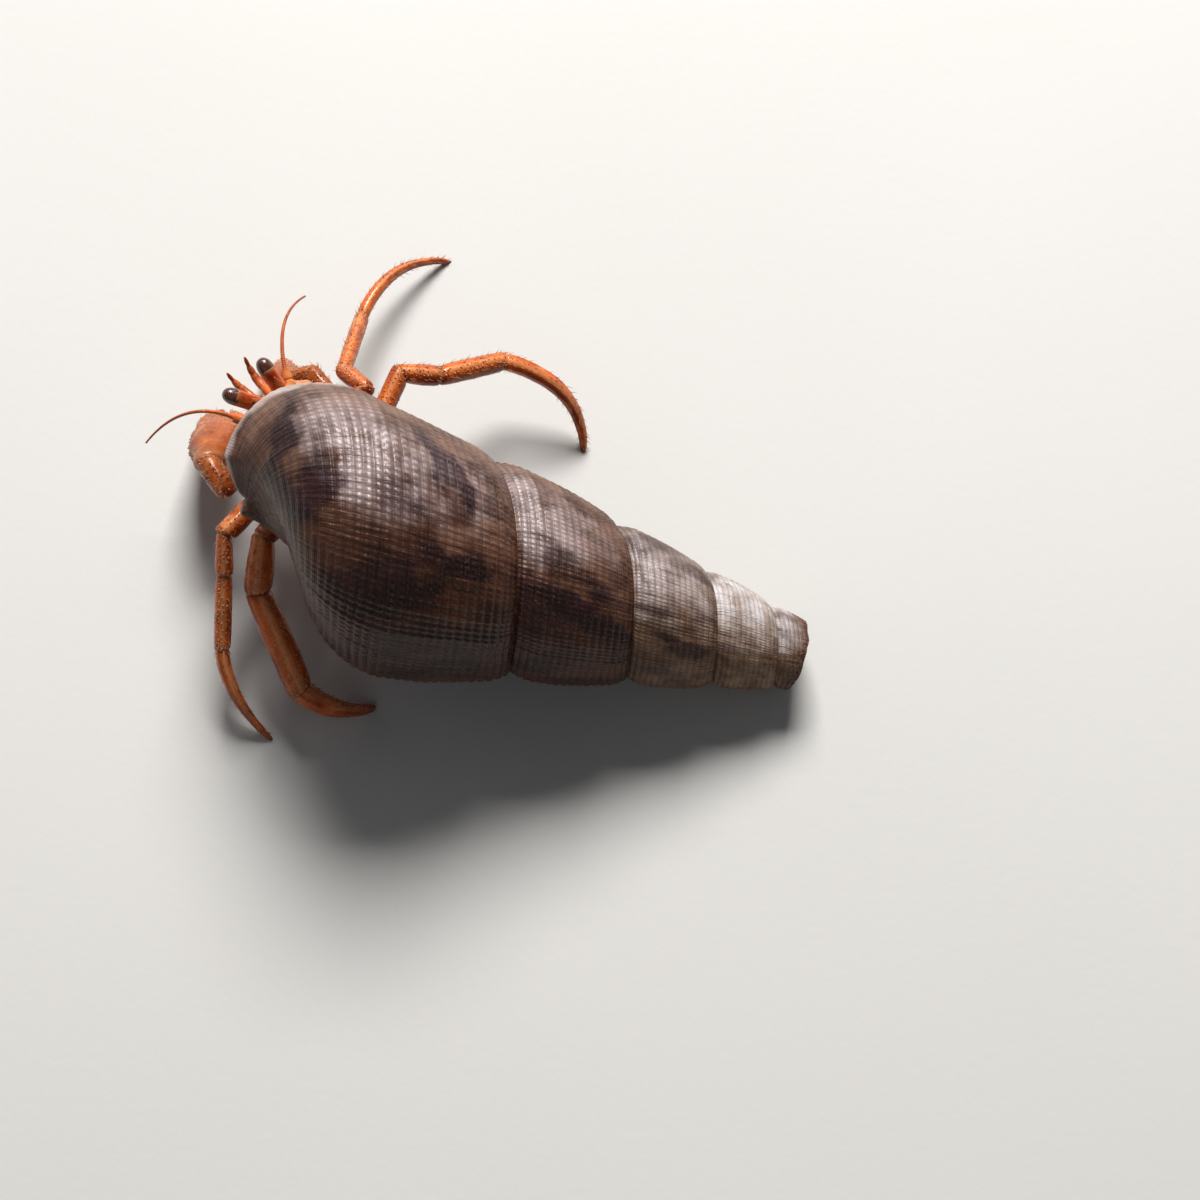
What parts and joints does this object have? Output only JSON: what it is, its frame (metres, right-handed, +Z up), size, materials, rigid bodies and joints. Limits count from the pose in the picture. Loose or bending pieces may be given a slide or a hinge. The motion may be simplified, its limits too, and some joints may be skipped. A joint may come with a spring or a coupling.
{
  "type": "hermit crab",
  "caption": "Small land hermit crab walking in a tall-spired snail shell, as a still, life-size model resting on its legs, claws and shell tip.",
  "frame": {"origin": "on the floor, under the middle of the whole animal's bounding box", "axes": "+Z up; the crab heads along -Y and +X is its left; +Y is the long way and +Z the low way of the whole animal"},
  "size_m": [0.0244, 0.0311, 0.0146],
  "materials": {
    "shell": "glossy cream shell with purple-brown blotches",
    "shield": "satin orange hard shell",
    "limbs": "glossy red-orange hard shell, darker towards the tips",
    "claws": "glossy orange hard shell with pale finger tips",
    "feelers": "thin red-orange hard shell",
    "soft_body": "pale orange soft skin",
    "eyes": "dark polished eye"
  },
  "bodies": {
    "root": {"abdomen": "soft_body", "antenna_left_base": "feelers", "antenna_left_whip": "feelers", "antenna_right_base": "feelers", "antenna_right_whip": "feelers", "antennule_left": "feelers", "antennule_right": "feelers", "carapace_rear": "soft_body", "carapace_shield": "shield", "claw_left_base": "claws", "claw_left_carpus": "claws", "claw_left_finger": "claws", "claw_left_merus": "claws", "claw_left_palm": "claws", "claw_right_base": "claws", "claw_right_carpus": "claws", "claw_right_finger": "claws", "claw_right_merus": "claws", "claw_right_palm": "claws", "eye_left": "eyes", "eye_right": "eyes", "eyestalk_left": "limbs", "eyestalk_right": "limbs", "leg_left_fourth": "limbs", "leg_left_front_base": "limbs", "leg_left_front_carpus": "limbs", "leg_left_front_dactyl": "limbs", "leg_left_front_merus": "limbs", "leg_left_front_propodus": "limbs", "leg_left_rear_base": "limbs", "leg_left_rear_carpus": "limbs", "leg_left_rear_dactyl": "limbs", "leg_left_rear_merus": "limbs", "leg_left_rear_propodus": "limbs", "leg_right_fourth": "limbs", "leg_right_front_base": "limbs", "leg_right_front_carpus": "limbs", "leg_right_front_dactyl": "limbs", "leg_right_front_merus": "limbs", "leg_right_front_propodus": "limbs", "leg_right_rear_base": "limbs", "leg_right_rear_carpus": "limbs", "leg_right_rear_dactyl": "limbs", "leg_right_rear_merus": "limbs", "leg_right_rear_propodus": "limbs", "maxilliped_left": "soft_body", "maxilliped_right": "soft_body", "shell": "shell", "thorax": "soft_body"}
  },
  "joints": []
}
